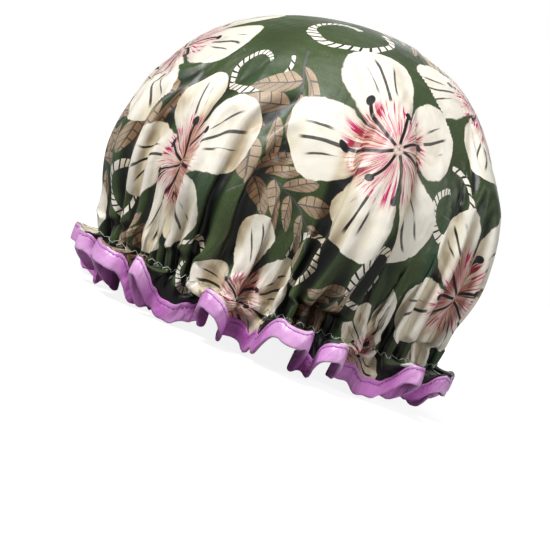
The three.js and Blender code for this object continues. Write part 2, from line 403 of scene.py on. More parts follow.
def settle_crown(radii, points):
    """The crown from its top to the elastic, settled over a form that stands for the hair inside."""
    coarse = points[:CROWN_RINGS, ::SIM_STRIDE]
    count = coarse.shape[1]
    start = np.vstack([crown_summit(CROWN_INSET), coarse.reshape(-1, 3)])
    rest = np.vstack([[[0, 0, 0]], rest_rings(radii[:CROWN_RINGS], count).reshape(-1, 3)])
    bends = np.linspace(0, END_BEND, FORM_RINGS + 1)[1:]
    spokes = np.linspace(0, TURN, FORM_SPOKES, endpoint=False)
    bend, angle = np.meshgrid(bends, spokes, indexing="ij")
    below = np.clip((bend - FORM_INSET_FROM) / FORM_INSET_FADE, 0, 1) ** FORM_INSET_POWER
    inset = FORM_INSET + FORM_INSET_BELOW * below
    full = np.broadcast_to(FULLEST, bend.shape + (2,)) - inset[..., None]
    form_points = crown_point(bend, angle)
    form_points[..., :2] = CENTRE[:2] + (form_points[..., :2] - CENTRE[:2]) * (full / FULLEST)
    form_top = crown_summit() - [[0, 0, FORM_INSET]]
    form_cloud = np.vstack([form_top, form_points.reshape(-1, 3)]) * SIM_SCALE
    form = new_object("hair_form", form_cloud, ring_faces(FORM_RINGS, FORM_SPOKES, True))
    pinned = 1 + (CROWN_RINGS - 1) * count + np.arange(count)
    settled = settle(start, rest, ring_faces(CROWN_RINGS, count, True), pinned, form, CROWN_CLOTH)
    return settled[0], settled[1:].reshape(CROWN_RINGS, count, 3)


def between(values, axis, closed):
    """Adds points halfway between neighbours along an axis, on the smooth curve through four of them: nine
    times the two nearest less the two beyond, over sixteen. A closed axis goes round."""
    def shifted(step):
        """The values moved along by that many places, which stop at an open end."""
        if closed:
            return np.roll(values, -step, axis)
        count = values.shape[axis]
        return np.take(values, np.clip(np.arange(count) + step, 0, count - 1), axis)

    half = (9 * (values + shifted(1)) - shifted(-1) - shifted(2)) / 16
    pairs = np.stack([values, half], axis + 1)
    shape = list(values.shape)
    shape[axis] *= 2
    doubled = pairs.reshape(shape)
    return doubled if closed else np.delete(doubled, -1, axis)


def unit(vectors):
    """The vectors at a length of one."""
    return vectors / np.maximum(np.linalg.norm(vectors, axis=-1, keepdims=True), 1e-12)


def outward(points, passes=2):
    """The outward direction at every cloth point, square to its neighbours round and down, evened out over
    the next points so that layers set off from the cloth cross less in its tight folds."""
    normal = unit(np.cross(np.gradient(points, axis=0), np.roll(points, -1, 1) - np.roll(points, 1, 1)))
    for _ in range(passes):
        normal = unit(2 * normal + np.roll(normal, -1, 1) + np.roll(normal, 1, 1))
    return normal


def at(grid, row, column):
    """The grid's value between its rows and columns, in straight lines. Columns go round."""
    row = np.clip(row, 0, len(grid) - 1.000001)
    top, left = np.floor(row).astype(int), np.floor(column).astype(int)
    down, right = (row - top)[..., None], (column - left)[..., None]
    left, next_left = left % grid.shape[1], (left + 1) % grid.shape[1]
    upper = grid[top, left] * (1 - right) + grid[top, next_left] * right
    lower = grid[top + 1, left] * (1 - right) + grid[top + 1, next_left] * right
    return upper * (1 - down) + lower * down


def wrap_faces(rings, count):
    """Four-sided faces of a closed tube: rings of points round the tube's own section, joined from the last
    to the first."""
    index = np.arange(rings * count).reshape(rings, count)
    after = np.roll(index, -1, 0)
    quads = np.stack([index, np.roll(index, -1, 1), np.roll(after, -1, 1), after], -1)
    return quads.reshape(-1, 4).tolist()


def face_outwards(made):
    """Turns the faces of a closed mesh so that all look outwards."""
    shape = bmesh.new()
    shape.from_mesh(made.data)
    bmesh.ops.recalc_face_normals(shape, faces=shape.faces)
    shape.to_mesh(made.data)
    shape.free()


def lay_uv(made, values, size_round=None):
    """Gives each corner its point's two numbers. Where size_round is given, the last face of a ring ends on
    it."""
    mesh = made.data
    corners = np.empty(len(mesh.loops), np.int32)
    mesh.loops.foreach_get("vertex_index", corners)
    flat = values.reshape(-1, 2)[corners]
    if size_round is not None:
        starts = np.empty(len(mesh.polygons), np.int32)
        totals = np.empty(len(mesh.polygons), np.int32)
        mesh.polygons.foreach_get("loop_start", starts)
        mesh.polygons.foreach_get("loop_total", totals)
        face = np.repeat(np.arange(len(starts)), totals)
        furthest = np.full(len(starts), -1e9)
        np.maximum.at(furthest, face, flat[:, 0])
        behind = furthest[face] - flat[:, 0] > size_round / 2
        flat[behind, 0] += size_round
    layer = mesh.uv_layers.new(name="flat_cloth")
    layer.data.foreach_set("uv", flat.astype(np.float32).ravel())


def closed_way(path):
    """The way along a closed path, point by point, and back to its first point at the end."""
    return np.concatenate([[0], np.cumsum(np.linalg.norm(np.roll(path, -1, 0) - path, axis=1))])


def lay_tube_uv(made, way, across):
    """A tube's two numbers: the way along its path, and the way round its section."""
    shape = (len(across), len(way) - 1)
    values = np.stack([np.broadcast_to(way[:-1], shape), np.broadcast_to(across[:, None], shape)], -1)
    lay_uv(made, values, way[-1])


def finish_piece(made, material):
    """Smooth shading, the material, and the body that the piece belongs to."""
    made.data.polygons.foreach_set("use_smooth", np.ones(len(made.data.polygons), bool))
    made.data.materials.append(material)
    made.data.update()
    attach(made, "root")
    return made


def thread(name, path, away, radius, sides=6):
    """A round thread along a closed path: a circle square to the path at each of its points. Away is a
    direction that is never along the path."""
    along = unit(np.roll(path, -1, 0) - np.roll(path, 1, 0))
    side = unit(np.cross(along, away))
    up = np.cross(side, along)
    turn = (np.arange(sides) * TURN / sides)[:, None, None]
    points = path + radius * (np.cos(turn) * side + np.sin(turn) * up)
    made = new_object(name, points, wrap_faces(sides, len(path)))
    face_outwards(made)
    lay_tube_uv(made, closed_way(path), turn[:, 0, 0] * radius)
    return made


def paint(red, green, blue):
    """A colour as seen, from 0 to 255, as the linear colour that nodes take."""
    seen = np.array([red, green, blue]) / 255
    linear = np.where(seen <= 0.04045, seen / 12.92, ((seen + 0.055) / 1.055) ** 2.4)
    return (*linear.tolist(), 1.0)


class Number:
    """One number of a node tree. A sum written with it adds Math nodes."""

    def __init__(self, tree, socket):
        self.tree, self.socket = tree, socket

    def math(self, operation, *others):
        """A Math node of this number and the others."""
        node = self.tree.nodes.new("ShaderNodeMath")
        node.operation = operation
        for socket, value in zip(node.inputs, (self, *others)):
            plug(self.tree, socket, value)
        return Number(self.tree, node.outputs[0])

    def __add__(self, other):
        return self.math("ADD", other)

    def __sub__(self, other):
        return self.math("SUBTRACT", other)

    def __rsub__(self, other):
        return (self * -1) + other

    def __mul__(self, other):
        return self.math("MULTIPLY", other)

    def __truediv__(self, other):
        return self.math("DIVIDE", other)

    def __pow__(self, other):
        return self.math("POWER", other)

    def __abs__(self):
        return self.math("ABSOLUTE")

    __radd__, __rmul__ = __add__, __mul__

    def ramp(self, low, high):
        """0 at low and 1 at high, with the smooth cubic between, also where low is the greater one."""
        node = self.tree.nodes.new("ShaderNodeMapRange")
        node.interpolation_type = "SMOOTHSTEP"
        plug(self.tree, node.inputs["Value"], self)
        node.inputs["From Min"].default_value, node.inputs["From Max"].default_value = low, high
        return Number(self.tree, node.outputs["Result"])


def plug(tree, socket, value):
    """Joins a socket to a number or another socket, or writes a plain value in it."""
    if isinstance(value, Number):
        tree.links.new(value.socket, socket)
    elif isinstance(value, bpy.types.NodeSocket):
        tree.links.new(value, socket)
    else:
        socket.default_value = value


def vector(tree, x, y, z=0.0):
    """Three numbers joined to a vector."""
    node = tree.nodes.new("ShaderNodeCombineXYZ")
    for socket, value in zip(node.inputs, (x, y, z)):
        plug(tree, socket, value)
    return node.outputs[0]


def vector_math(tree, operation, first, second=None, scale=None):
    """A Vector Math node, with a second vector or a scale where the operation takes one."""
    node = tree.nodes.new("ShaderNodeVectorMath")
    node.operation = operation
    plug(tree, node.inputs[0], first)
    if second is not None:
        plug(tree, node.inputs[1], second)
    if scale is not None:
        plug(tree, node.inputs["Scale"], scale)
    return node.outputs[0]


def parts(tree, source):
    """A vector's three numbers."""
    node = tree.nodes.new("ShaderNodeSeparateXYZ")
    plug(tree, node.inputs[0], source)
    return [Number(tree, output) for output in node.outputs]


def noise(tree, source, scale, detail=2.0, colour=False):
    """Soft random cloudiness, about 0.5 on average, scale patches to the metre or unit."""
    node = tree.nodes.new("ShaderNodeTexNoise")
    plug(tree, node.inputs["Vector"], source)
    node.inputs["Scale"].default_value = scale
    node.inputs["Detail"].default_value = detail
    return node.outputs["Color"] if colour else Number(tree, node.outputs["Fac"])


def mix(tree, share, first, second):
    """The first colour where share is 0, the second where it is 1."""
    node = tree.nodes.new("ShaderNodeMix")
    node.data_type = "RGBA"
    plug(tree, node.inputs["Factor"], share)
    colours = [socket for socket in node.inputs if socket.type == "RGBA"]
    plug(tree, colours[0], first)
    plug(tree, colours[1], second)
    return next(output for output in node.outputs if output.type == "RGBA")


def polar(x, y):
    """The distance from the middle and the angle round it."""
    return (x * x + y * y) ** 0.5, y.math("ARCTAN2", x)


def attribute(tree, name, output="Vector"):
    """What the mesh carries under that name."""
    node = tree.nodes.new("ShaderNodeAttribute")
    node.attribute_name = name
    return node.outputs[output]


def motif(name, draw):
    """A node group that draws one kind of printed motif over the colour under it. Each face of the cloth
    carries the place, size, turn and seed of the motif that is nearest to it. Two soft noises bend the
    motif's own axes, so that no two are alike."""
    tree = bpy.data.node_groups.new(name, "ShaderNodeTree")
    for word, kind in (("Place", "Vector"), ("Under", "Color")):
        tree.interface.new_socket(word, in_out="INPUT", socket_type="NodeSocket" + kind)
    tree.interface.new_socket("Colour", in_out="OUTPUT", socket_type="NodeSocketColor")
    source = tree.nodes.new("NodeGroupInput").outputs
    middle_x, middle_y, reach = parts(tree, attribute(tree, name + "_place"))
    turn, seed, _ = parts(tree, attribute(tree, name + "_turn"))
    away = vector_math(tree, "SUBTRACT", source["Place"], vector(tree, middle_x, middle_y))
    turned = tree.nodes.new("ShaderNodeVectorRotate")
    turned.rotation_type = "Z_AXIS"
    plug(tree, turned.inputs["Vector"], away)
    plug(tree, turned.inputs["Angle"], turn)
    local_x, local_y, _ = parts(tree, vector_math(tree, "SCALE", turned.outputs[0], scale=reach**-1.0))
    bend_x = noise(tree, vector(tree, local_x, local_y, seed * 1.7), BEND_SCALE, 1.0) - 0.5
    bend_y = noise(tree, vector(tree, local_x, local_y, seed * 1.7 + 9.0), BEND_SCALE, 1.0) - 0.5
    bent_x, bent_y = local_x + bend_x * BEND_AMOUNT, local_y + bend_y * BEND_AMOUNT
    colour = draw(tree, bent_x, bent_y, seed, source["Under"])
    plug(tree, tree.nodes.new("NodeGroupOutput").inputs["Colour"], colour)
    return tree


# The print's inks, as they are seen in even light
CREAM, CREAM_SHADE, COOL_SHADE = paint(240, 235, 222), paint(216, 205, 187), paint(206, 200, 191)
THROAT, FLECK, INK = paint(214, 168, 163), paint(196, 24, 108), paint(26, 24, 27)
LEAF, LEAF_SHADE, LEAF_VEIN = paint(186, 164, 138), paint(150, 130, 108), paint(96, 95, 96)
GROUND, GROUND_DEEP, GROUND_TEAL = paint(68, 85, 44), paint(35, 47, 24), paint(40, 84, 74)

# The motifs' own proportions. All but the counts and the angles are shares of a motif's reach.
BEND_SCALE, BEND_AMOUNT = 1.6, 0.22
PETALS, PETAL_WIDTH, PETAL_FULL_POWER, PETAL_TIP_POWERS = 5, 0.6, 0.85, (3.4, 0.62)
STAMENS, STAMEN_LENGTH, STAMEN_VARIATION, STAMEN_BOW = 7, 0.4, 0.09, 0.5
LEAF_GAP, LEAF_PAIRS, LEAF_SLANT, STEM_BEND = 0.2, 4.5, math.radians(46), 0.16
LEAF_LENGTH, LEAF_SHRINK, LEAF_WIDTH, RIB_GAP = 0.46, 0.055, 0.19, 0.075
CURL_RADIUS, CURL_GROWTH, CURL_WIDTH, CURL_TAPER, CURL_TICKS = 0.66, 0.085, 0.105, 0.014, 24


def draw_blossom(tree, x, y, seed, under):
    """Five broad petals round a pink throat. The angle is folded into one petal's own, and the petal's half
    width grows from its foot, is widest at two thirds and closes in a round tip. Streaks, flecks, veins and
    stamens lie on it."""
    span = TURN / PETALS
    radius, angle = polar(x, y)
    number = (angle / span).math("ROUND")
    own = angle - number * span
    along, across = radius * own.math("COSINE"), abs(radius * own.math("SINE"))
    chance = (number * 2.4 + seed * 3.1).math("SINE")
    share = along / (1 + chance * 0.1)

    grain = noise(tree, vector(tree, x, y, seed), 9.0, 3.0)
    streak = noise(tree, vector(tree, own * 7 + number * 3.3, radius * 1.1, seed), 2.2, 2.0)
    broad = noise(tree, vector(tree, own * 2 + number * 5.1, radius * 1.6, seed), 1.7, 2.0)
    fine = noise(tree, vector(tree, own * 16 + number * 7.7, radius * 2.6, seed), 1.6, 1.0)

    tip, blunt = PETAL_TIP_POWERS
    closing = (1 - share.math("MINIMUM", 1.0) ** tip).math("MAXIMUM", 0.0) ** blunt
    edge = share**PETAL_FULL_POWER * closing * PETAL_WIDTH + (grain - 0.5) * 0.06 - across
    cover = edge.ramp(0.0, 0.012) * radius.ramp(1.3, 1.2)
    beside = (along * math.tan(span / 2) - across) * math.cos(span / 2)
    colour = mix(tree, broad.ramp(0.46, 0.72) * 0.75, CREAM, CREAM_SHADE)
    colour = mix(tree, beside.ramp(0.07, 0.0) * radius.ramp(0.15, 0.4) * 0.85, colour, COOL_SHADE)
    colour = mix(tree, radius.ramp(0.62, 0.1) * streak.ramp(0.32, 0.62), colour, THROAT)
    fleck = fine.ramp(0.565, 0.585) * radius.ramp(0.09, 0.14) * radius.ramp(0.5, 0.38)
    colour = mix(tree, fleck, colour, FLECK)

    middle_way, side_way = abs(own) * radius, abs(abs(own) - 0.17) * radius
    vein = middle_way.ramp(0.017, 0.011) * radius.ramp(0.42, 0.46) * share.ramp(0.92, 0.84)
    side = side_way.ramp(0.013, 0.008) * radius.ramp(0.5, 0.6) * share.ramp(0.85, 0.75)
    side = side * streak.ramp(0.4, 0.5)
    colour = mix(tree, vein.math("MAXIMUM", side) * 0.9, colour, INK)

    stamen_span = TURN / STAMENS
    bow = angle + radius * STAMEN_BOW + seed
    stamen_number = (bow / stamen_span).math("ROUND")
    beside_stamen = abs(bow - stamen_number * stamen_span) * radius
    reach = STAMEN_LENGTH + (stamen_number * 1.9).math("SINE") * STAMEN_VARIATION
    stalk = beside_stamen.ramp(0.017, 0.011) * (radius - reach).ramp(0.0, -0.02) * radius.ramp(0.03, 0.06)
    knob = ((radius - reach) ** 2.0 + beside_stamen**2.0) ** 0.5
    colour = mix(tree, stalk.math("MAXIMUM", knob.ramp(0.042, 0.034)), colour, INK)

    rim = edge.ramp(0.016, 0.006) * streak.ramp(0.42, 0.6) * 0.7
    colour = mix(tree, rim, colour, LEAF_SHADE)
    return mix(tree, cover, under, colour)


def draw_leaves(tree, x, y, seed, under):
    """A bent stem with pairs of slanting leaves. The way along the stem is folded into one leaf's own, the
    leaf is widest at its middle, and thin veins slant from its midrib."""
    bowed = y - (x * math.pi).math("SINE") * STEM_BEND
    side = bowed.math("SIGN")
    off = abs(bowed)
    foot = x - off / math.tan(LEAF_SLANT) + side * (LEAF_GAP / 4)
    number = (foot / LEAF_GAP).math("FLOOR")
    across = (foot - (number + 0.5) * LEAF_GAP) * math.sin(LEAF_SLANT)
    up = off / math.sin(LEAF_SLANT)
    size = (LEAF_LENGTH - number * LEAF_SHRINK) * (1 + (number * 2.3 + side + seed).math("SINE") * 0.15)
    share = (up / size).math("MINIMUM", 1.0)
    half = (share * math.pi).math("SINE") ** 0.75 * (size * LEAF_WIDTH)
    inside = (half - abs(across)).ramp(0.0, 0.008)
    there = number.math("GREATER_THAN", -0.5) * number.math("LESS_THAN", LEAF_PAIRS)
    stem = off.ramp(0.010, 0.006) * x.ramp(-0.1, -0.08) * x.ramp(1.1, 1.05)
    mottle = noise(tree, vector(tree, x, y, seed), 7.0, 3.0)
    colour = mix(tree, across.ramp(-0.005, 0.005) * 0.5, LEAF, LEAF_SHADE)
    colour = mix(tree, mottle.ramp(0.45, 0.75) * 0.7, colour, LEAF_SHADE)
    step = (up - abs(across) * 1.1) / RIB_GAP
    rib = abs(step - (step + 0.5).math("FLOOR"))
    vein = rib.ramp(0.085, 0.05).math("MAXIMUM", abs(across).ramp(0.006, 0.003))
    colour = mix(tree, vein * 0.9, colour, LEAF_VEIN)
    colour = mix(tree, inside * there, under, colour)
    return mix(tree, stem, colour, LEAF_VEIN)


def draw_curl(tree, x, y, _, under):
    """A curl: the distance from the middle grows with the angle, from under half to nearly the whole reach.
    Slanting dark ticks cross the cream line like the strands of a twisted yarn."""
    radius, angle = polar(x, y)
    away = radius - (CURL_RADIUS + angle * CURL_GROWTH)
    half = CURL_WIDTH - abs(angle) * CURL_TAPER
    inside = (half - abs(away)).ramp(0.0, 0.012)
    tick = (angle * CURL_TICKS + away * 26).math("SINE").ramp(0.6, 0.75)
    colour = mix(tree, tick, CREAM, INK)
    return mix(tree, inside, under, colour)


# Where each motif lies on the flat disc: degrees round and millimetres out, then its turn in degrees and its
# reach in millimetres
BLOSSOMS = [
    (-72, 128, 20, 66),
    (-128, 176, 75, 62),
    (-30, 190, 30, 60),
    (-165, 112, 120, 60),
    (-15, 78, 200, 60),
    (-95, 238, 50, 48),
    (-172, 214, 10, 56),
    (8, 214, 170, 54),
    (112, 52, 40, 62),
    (60, 150, 160, 64),
    (112, 170, 250, 62),
    (155, 150, 10, 58),
    (34, 236, 95, 46),
    (84, 236, 20, 50),
    (140, 240, 130, 50),
    (-55, 246, 190, 42),
]
LEAVES = [
    (-104, 92, 125, 82),
    (-106, 176, 20, 66),
    (-48, 74, -75, 84),
    (-148, 240, 65, 78),
    (-44, 152, 0, 64),
    (-70, 196, 110, 60),
    (-10, 130, 60, 84),
    (20, 110, 160, 88),
    (85, 96, 270, 92),
    (38, 190, 300, 84),
    (90, 200, 10, 84),
    (135, 104, 200, 88),
    (136, 205, 250, 80),
    (178, 170, 100, 84),
    (-140, 130, 210, 84),
    (170, 60, 20, 84),
]
CURLS = [
    (-106, 54, 130, 27),
    (-119, 110, 159, 25),
    (-66, 192, 161, 24),
    (-111, 232, 46, 24),
    (-83, 205, 302, 24),
    (-45, 146, 45, 26),
    (-2, 152, 28, 25),
    (-150, 200, 240, 24),
    (165, 204, 169, 25),
    (34, 116, 98, 26),
    (46, 60, 79, 27),
    (65, 232, 15, 25),
    (89, 184, 125, 26),
    (129, 119, 98, 26),
    (101, 232, 293, 24),
    (166, 85, 340, 25),
]


# Each kind of motif: how it is drawn, where, and how far ahead of its own place its middle lies, in reaches
MOTIFS = [
    ("curl", draw_curl, CURLS, 0.0),
    ("leaf_spray", draw_leaves, LEAVES[::2], 0.5),
    ("leaf_branch", draw_leaves, LEAVES[1::2], 0.5),
    ("blossom", draw_blossom, BLOSSOMS, 0.0),
]


def print_on(tree, place):
    """The printed cloth's colour: a mottled dark ground, then curls, leaf sprays and blossoms, each over
    the last."""
    cloudy = noise(tree, place, 14.0, 3.0)
    tint = noise(tree, vector_math(tree, "ADD", place, (3.1, 1.7, 0.0)), 9.0, 2.0)
    colour = mix(tree, cloudy.ramp(0.35, 0.7) * 0.7, GROUND, GROUND_DEEP)
    colour = mix(tree, tint.ramp(0.5, 0.7) * 0.5, colour, GROUND_TEAL)
    for name, draw, _, _ in MOTIFS:
        node = tree.nodes.new("ShaderNodeGroup")
        node.node_tree = motif(name, draw)
        plug(tree, node.inputs["Place"], place)
        plug(tree, node.inputs["Under"], colour)
        colour = node.outputs["Colour"]
    return colour


# How many points to each side a pleat is looked at for, and how many slow waves make up a ring's even oval
VALLEY_REACH = 10
OVAL_WAVES = 8


def fold_depth(cloth):
    """How far each point lies behind the outermost cloth near it on its ring, counted from the ring's even
    oval. That is 0 on the puffs and some millimetres in the pleats between them."""
    flat = cloth[..., :2] - cloth[..., :2].mean(1, keepdims=True)
    waves = np.fft.rfft(np.linalg.norm(flat, axis=2), axis=1)
    waves[:, :OVAL_WAVES] = 0
    out = np.fft.irfft(waves, n=cloth.shape[1], axis=1)
    shifts = range(-VALLEY_REACH, VALLEY_REACH + 1)
    front = np.max([np.roll(out, shift, 1) for shift in shifts], axis=0)
    depth = front - out
    return (np.roll(depth, 1, 1) + 2 * depth + np.roll(depth, -1, 1)) / 4


def lay_depth(made, depth):
    """The fold depth as an attribute of the piece's points, which the finishes use to paint shade into the
    pleats.
    """
    layer = made.data.attributes.new("fold_depth", "FLOAT", "POINT")
    layer.data.foreach_set("value", depth.ravel().astype(np.float32))


def share_out(made, places):
    """Gives every face of the cloth the numbers of its nearest motif of each kind, by the distance over the
    reach."""
    mesh = made.data
    starts = np.empty(len(mesh.polygons), np.int32)
    mesh.polygons.foreach_get("loop_start", starts)
    corners = np.empty(len(mesh.loops), np.int32)
    mesh.loops.foreach_get("vertex_index", corners)
    middle = (places[corners[starts]] + places[corners[starts + 2]]) / 2
    for name, _, spots, ahead in MOTIFS:
        degrees, out, turn, reach = np.array(spots, float).T
        turn, reach, out = np.radians(turn), reach * MM, out * MM
        spot = np.stack([out * np.cos(np.radians(degrees)), out * np.sin(np.radians(degrees))], -1)
        heart = spot + ahead * reach[:, None] * np.stack([np.cos(-turn), np.sin(-turn)], -1)
        nearest = (np.linalg.norm(middle[:, None] - heart, axis=2) / reach).argmin(1)
        seed = 1.37 * np.arange(len(spots)) + 0.5
        for word, values in (("_place", [spot[:, 0], spot[:, 1], reach]), ("_turn", [turn, seed, 0 * seed])):
            layer = mesh.attributes.new(name + word, "FLOAT_VECTOR", "FACE")
            layer.data.foreach_set("vector", np.stack(values, -1)[nearest].astype(np.float32).ravel())


def finish_of(name, **sockets):
    """A material with the given plain values on its shader, and its tree, shader and flat-cloth place."""
    material = bpy.data.materials.new(name)
    material.use_nodes = True
    tree = material.node_tree
    shader = tree.nodes["Principled BSDF"]
    for word, value in sockets.items():
        shader.inputs[word.replace("_", " ")].default_value = value
    place = tree.nodes.new("ShaderNodeUVMap")
    place.uv_map = "flat_cloth"
    return material, tree, shader, place.outputs[0]


def relief(tree, shader, height, depth):
    """Raises the surface by the height, of about 0 to 1, times depth in metres."""
    bump = tree.nodes.new("ShaderNodeBump")
    bump.inputs["Distance"].default_value = depth
    plug(tree, bump.inputs["Height"], height)
    plug(tree, shader.inputs["Normal"], bump.outputs[0])


CREASE_LENGTH = 45 * MM


def gather_creases(tree, place):
    """Fine creases that run from the elastic into the cloth on both sides, along the disc's radii, and die
    out."""
    x, y, _ = parts(tree, place)
    radius, angle = polar(x, y)
    wobble = noise(tree, place, 30.0, 2.0)
    crease = noise(tree, vector(tree, angle * 26, radius * 26, wobble), 1.0, 2.0)
    near = radius.ramp(SEWN_RADIUS - CREASE_LENGTH, SEWN_RADIUS) * radius.ramp(RIM_RADIUS, SEWN_RADIUS)
    return crease * near


def pleat_depth(tree):
    """How far the cloth lies behind the cloth beside it, in metres, for the painted shade in the pleats."""
    return Number(tree, attribute(tree, "fold_depth", "Fac"))


def with_painted_pleat_shade(tree, colour, power):
    """The colour to that power, which is darker and fuller where the power is above one: this paints shade
    into the pleats' colour.
    """
    node = tree.nodes.new("ShaderNodeGamma")
    plug(tree, node.inputs["Color"], colour)
    plug(tree, node.inputs["Gamma"], power)
    return node.outputs[0]


def satin_finish():
    """Printed satin with painted shade darkening its colour in the pleats, a fine weave, soft dimples, and
    creases at the gathers.
    """
    material, tree, shader, place = finish_of(
        "printed_satin",
        IOR=1.5,
        Sheen_Weight=0.15,
        Sheen_Roughness=0.35,
        Sheen_Tint=(0.8, 0.9, 0.76, 1),
        Anisotropic=0.4,
        Anisotropic_Rotation=0.12,
        Specular_IOR_Level=0.6,
    )
    speckle = noise(tree, place, 1000.0, 1.0)
    # Painted shade: the power grows with the pleat depth and darkens the print there; the speckle is the
    # weave's random grain
    power = pleat_depth(tree).ramp(1.2 * MM, 6 * MM) * 1.4 + speckle * 0.5 + 0.8
    plug(tree, shader.inputs["Base Color"], with_painted_pleat_shade(tree, print_on(tree, place), power))
    x, y, _ = parts(tree, place)
    floats = noise(tree, vector(tree, x * 0.16, y, 0.3), 2600.0, 1.0)
    slub = noise(tree, vector(tree, x, y * 0.12, 1.3), 700.0, 2.0)
    crinkle = noise(tree, place, 26.0, 3.0)
    dimples = noise(tree, place, 13.0, 1.0)
    lustre = noise(tree, vector_math(tree, "ADD", place, (7.3, 2.9, 0.0)), 22.0, 1.0)
    creases = gather_creases(tree, place)
    rough = 0.3 + lustre.ramp(0.35, 0.65) * 0.18 + floats * 0.1 + slub * 0.08
    plug(tree, shader.inputs["Roughness"], rough)
    height = dimples * 4.0 + crinkle * 1.9 + creases * 3.6 + slub * 0.03 + floats * 0.02
    relief(tree, shader, height, 1.8 * MM)
    return material


def film_finish():
    """Frosted film: cloudy pale grey with a fine emboss and crinkles."""
    material, tree, shader, place = finish_of(
        "frosted_film",
        Roughness=0.36,
        IOR=1.5,
        Specular_IOR_Level=0.5,
        Coat_Weight=0.15,
        Coat_Roughness=0.3,
    )
    cloudy = noise(tree, place, 40.0, 4.0)
    colour = mix(tree, cloudy.ramp(0.3, 0.7), paint(222, 225, 220), paint(206, 211, 203))
    plug(tree, shader.inputs["Base Color"], colour)
    crinkle = noise(tree, place, 120.0, 4.0)
    emboss = noise(tree, place, 1400.0, 1.0)
    creases = gather_creases(tree, place)
    plug(tree, shader.inputs["Roughness"], 0.3 + cloudy * 0.2)
    relief(tree, shader, crinkle * 0.5 + creases * 1.4 + emboss * 0.04, 1.4 * MM)
    return material


# How far apart the fine lines of the finishes are
TAPE_RIB = 0.45 * MM
ELASTIC_WALE = 1.1 * MM
PLY_LENGTH, PLY_WIDTH = 1.2 * MM, 1.1 * MM


def tape_finish():
    """Purple satin tape: shiny, finely ribbed, puckered at the seam, with painted shade deep in its loops and
    partly painted sheen in its paler patches.
    """
    material, tree, shader, place = finish_of(
        "purple_satin_tape",
        IOR=1.5,
        Sheen_Weight=0.3,
        Sheen_Roughness=0.4,
        Anisotropic=0.6,
        Specular_IOR_Level=1.0,
    )
    x, y, _ = parts(tree, place)
    cloudy = noise(tree, vector(tree, x * 30, y * 60), 1.0, 3.0)
    ribs = (y * (TURN / TAPE_RIB)).math("SINE")
    floats = noise(tree, vector(tree, x * 0.2, y, 0.0), 2400.0, 1.0)
    # Random paler and darker patches, and pale flecks along the floats: partly the tape's own uneven tone and
    # partly painted sheen of its lit faces and floats
    colour = mix(tree, cloudy.ramp(0.35, 0.7), paint(246, 182, 243), paint(198, 116, 195))
    colour = mix(tree, floats.ramp(0.4, 0.7) * 0.2, colour, paint(250, 210, 247))
    # Painted shade: the power grows with the hem's pleat depth and darkens the tape deep in its loops
    power = pleat_depth(tree).ramp(2 * MM, 14 * MM) * 0.7 + 0.92
    plug(tree, shader.inputs["Base Color"], with_painted_pleat_shade(tree, colour, power))
    plug(tree, shader.inputs["Roughness"], 0.26 + floats * 0.12)
    pucker = noise(tree, vector(tree, x * 260, y * 40), 1.0, 2.0)
    bends = noise(tree, vector(tree, x * 85 + y * 60, y * 18), 1.0, 2.0)
    relief(tree, shader, bends * 5 + pucker * 1.2 + ribs * 0.02 + floats * 0.04, 0.5 * MM)
    return material


def elastic_finish():
    """White knitted elastic: even lines across it, darker in their grooves as painted shade."""
    material, tree, shader, place = finish_of(
        "knitted_elastic", Roughness=0.75, IOR=1.45, Sheen_Weight=0.3, Sheen_Roughness=0.5
    )
    x, y, _ = parts(tree, place)
    wales = (x * (TURN / ELASTIC_WALE)).math("SINE")
    cloudy = noise(tree, place, 900.0, 2.0)
    # Painted shade: the colour is paler where the relief is higher and darker in the grooves between the
    # wales and in the knit's small hollows
    pale = wales.ramp(-0.9, 0.9) * 0.5 + cloudy * 0.4
    colour = mix(tree, pale, paint(205, 205, 200), paint(238, 238, 234))
    plug(tree, shader.inputs["Base Color"], colour)
    plug(tree, shader.inputs["Roughness"], 0.6 + cloudy * 0.25)
    relief(tree, shader, wales * 0.5 + cloudy * 0.5, 0.25 * MM)
    return material


def thread_finish(name, light, dark):
    """Two plies of a twisted thread: slanting stripes along it, darker in the grooves between the plies as
    painted shade.
    """
    material, tree, shader, place = finish_of(name, Roughness=0.5, IOR=1.5, Sheen_Weight=0.2)
    x, y, _ = parts(tree, place)
    ply = (x * (TURN / PLY_LENGTH) + y * (TURN / PLY_WIDTH)).math("SINE")
    # Painted shade: the dark colour lies in the grooves of the relief, the light colour on the plies
    plug(tree, shader.inputs["Base Color"], mix(tree, ply.ramp(-1.0, 0.2), dark, light))
    plug(tree, shader.inputs["Roughness"], 0.42 + ply * 0.06)
    relief(tree, shader, ply, 0.08 * MM)
    return material


# The folded tape's section, in millimetres from the hem's edge up and out from the satin. It goes up inside
# the tape's front, round the front's outer face, the fold and the back's outer face, and back inside.
TAPE_SECTION = [
    (10.9, 0.25), (11.1, 0.5), (10.9, 0.7), (9.6, 0.74), (8.7, 0.6), (8.4, 0.46), (8.1, 0.6), (7.0, 0.76),
    (4.5, 0.78), (2.0, 0.76), (0.6, 0.72), (0.0, 0.6), (-0.4, 0.1), (-0.5, -0.35), (-0.4, -0.8), (0.0, -1.3),
    (0.6, -1.42), (2.0, -1.46), (4.5, -1.48), (7.0, -1.46), (8.1, -1.3), (8.4, -1.16), (8.7, -1.3),
    (9.6, -1.44), (10.9, -1.4), (11.1, -1.2), (10.9, -0.95), (8.4, -0.95), (4.0, -0.98), (0.9, -0.9),
    (0.3, -0.35), (0.9, 0.2), (4.0, 0.28), (8.4, 0.25),
]
TAPE_COLUMNS = 2
LAYER_GAP = 0.7 * MM

